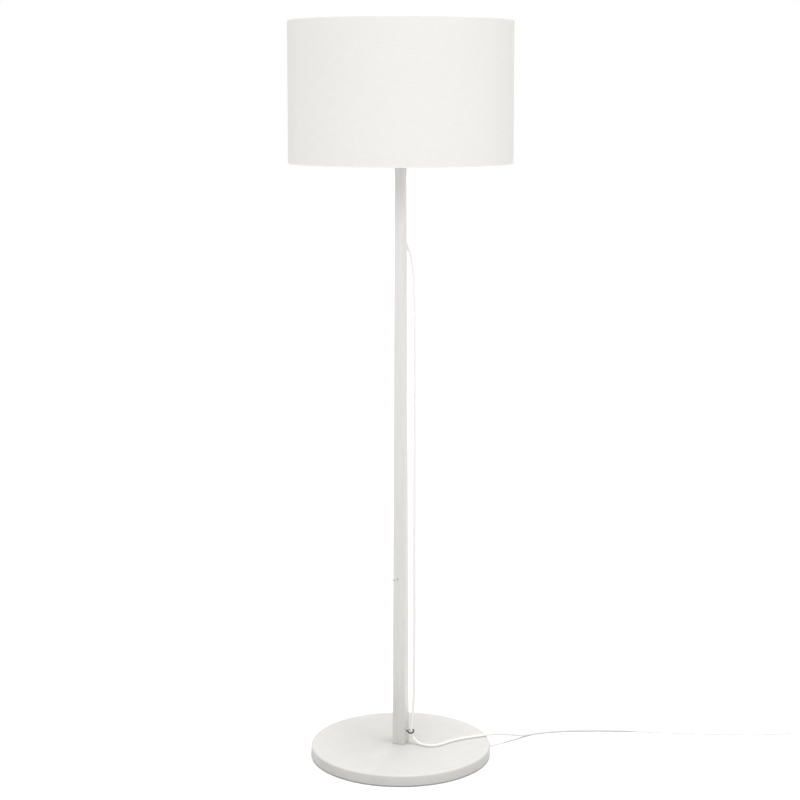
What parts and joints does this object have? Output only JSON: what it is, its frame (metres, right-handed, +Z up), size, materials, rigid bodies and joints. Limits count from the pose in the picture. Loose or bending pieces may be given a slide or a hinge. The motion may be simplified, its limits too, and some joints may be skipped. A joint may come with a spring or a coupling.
{
  "type": "floor lamp",
  "caption": "Floor lamp with a round base, a tapered square wooden stem, an open drum shade round a screw-in bulb, and a free cord with a foot switch, a wound coil and a plug.",
  "frame": {"origin": "centre of the base on the floor, under the stem's axis", "axes": "+Z up along the stem to the shade; -Y is the front; +X is to the right, where the cord leaves the base"},
  "size_m": [1.2599, 0.432, 1.4462],
  "materials": {
    "painted_board": "satin white paint on pressed board",
    "cast_iron": "rough cast",
    "zinc_steel": "zinc plated",
    "felt": "felt",
    "painted_wood": "whitewashed, grain showing through thin paint",
    "white_plastic": "satin",
    "dark_steel": "dark, slightly worn",
    "brass": "plain",
    "nickel": "nickel plated",
    "cord_jacket": "smooth soft jacket",
    "ceramic": "moulded insulating core",
    "live_insulation": "brown insulation",
    "neutral_insulation": "blue insulation",
    "frosted_bulb": "frosted diffuser",
    "shade_fabric": "plain woven cotton, off white",
    "shade_liner": "thin white laminate",
    "white_steel": "white powder coat"
  },
  "bodies": {
    "stand": {"base_disc": "painted_board", "ballast_plate": "cast_iron", "ballast_screw_1": "zinc_steel", "ballast_screw_2": "zinc_steel", "ballast_screw_3": "zinc_steel", "stem_washer": "zinc_steel", "stem_bolt": "zinc_steel", "locating_dowel": "zinc_steel", "stem_top_washer": "zinc_steel", "nipple_nut": "zinc_steel", "threaded_nipple": "zinc_steel", "bulb_led_board": "zinc_steel", "switch_screw_1": "zinc_steel", "switch_screw_2": "zinc_steel", "switch_spring": "zinc_steel", "foot_pad_1": "felt", "foot_pad_2": "felt", "foot_pad_3": "felt", "foot_pad_4": "felt", "stem": "painted_wood", "exit_bushing": "white_plastic", "holder_cap": "white_plastic", "holder_skirt": "white_plastic", "shade_retaining_ring": "white_plastic", "bulb_housing": "white_plastic", "switch_relief_1": "white_plastic", "switch_relief_2": "white_plastic", "switch_base": "white_plastic", "switch_cover": "white_plastic", "plug_body": "white_plastic", "coil_tie": "white_plastic", "cord_eye": "dark_steel", "stem_insert": "brass", "centre_contact": "brass", "bulb_contact": "brass", "holder_screw_shell": "nickel", "bulb_screw_cap": "nickel", "plug_pin_1": "nickel", "plug_pin_2": "nickel", "stem_lead": "cord_jacket", "cord_lamp": "cord_jacket", "cord_tail": "cord_jacket", "cord_coil": "cord_jacket", "cord_plug_lead": "cord_jacket", "holder_core": "ceramic", "switch_contact_block": "ceramic", "live_wire": "live_insulation", "neutral_wire": "neutral_insulation", "bulb_diffuser": "frosted_bulb"},
    "shade": {"shade_fabric": "shade_fabric", "shade_liner": "shade_liner", "hoop_lower": "white_steel", "hoop_upper": "white_steel", "fitter_ring": "white_steel", "shade_arm_1": "white_steel", "shade_arm_2": "white_steel", "shade_arm_3": "white_steel", "hem_tape_lower": "shade_fabric", "hem_tape_upper": "shade_fabric"},
    "foot_button": {"switch_button": "white_plastic"}
  },
  "joints": [
    {"name": "shade_turn", "type": "hinge", "parent": "stand", "child": "shade", "pos_m": [0, 0, 1.227], "axis": [0, 0, 1], "continuous": true},
    {"name": "switch_press", "type": "slide", "parent": "stand", "child": "foot_button", "axis": [0, 0, -1], "range_m": [0, 0.003], "stiffness_N_per_m": 900, "springref_m": -0.0015, "deforming": ["switch_spring"]}
  ]
}
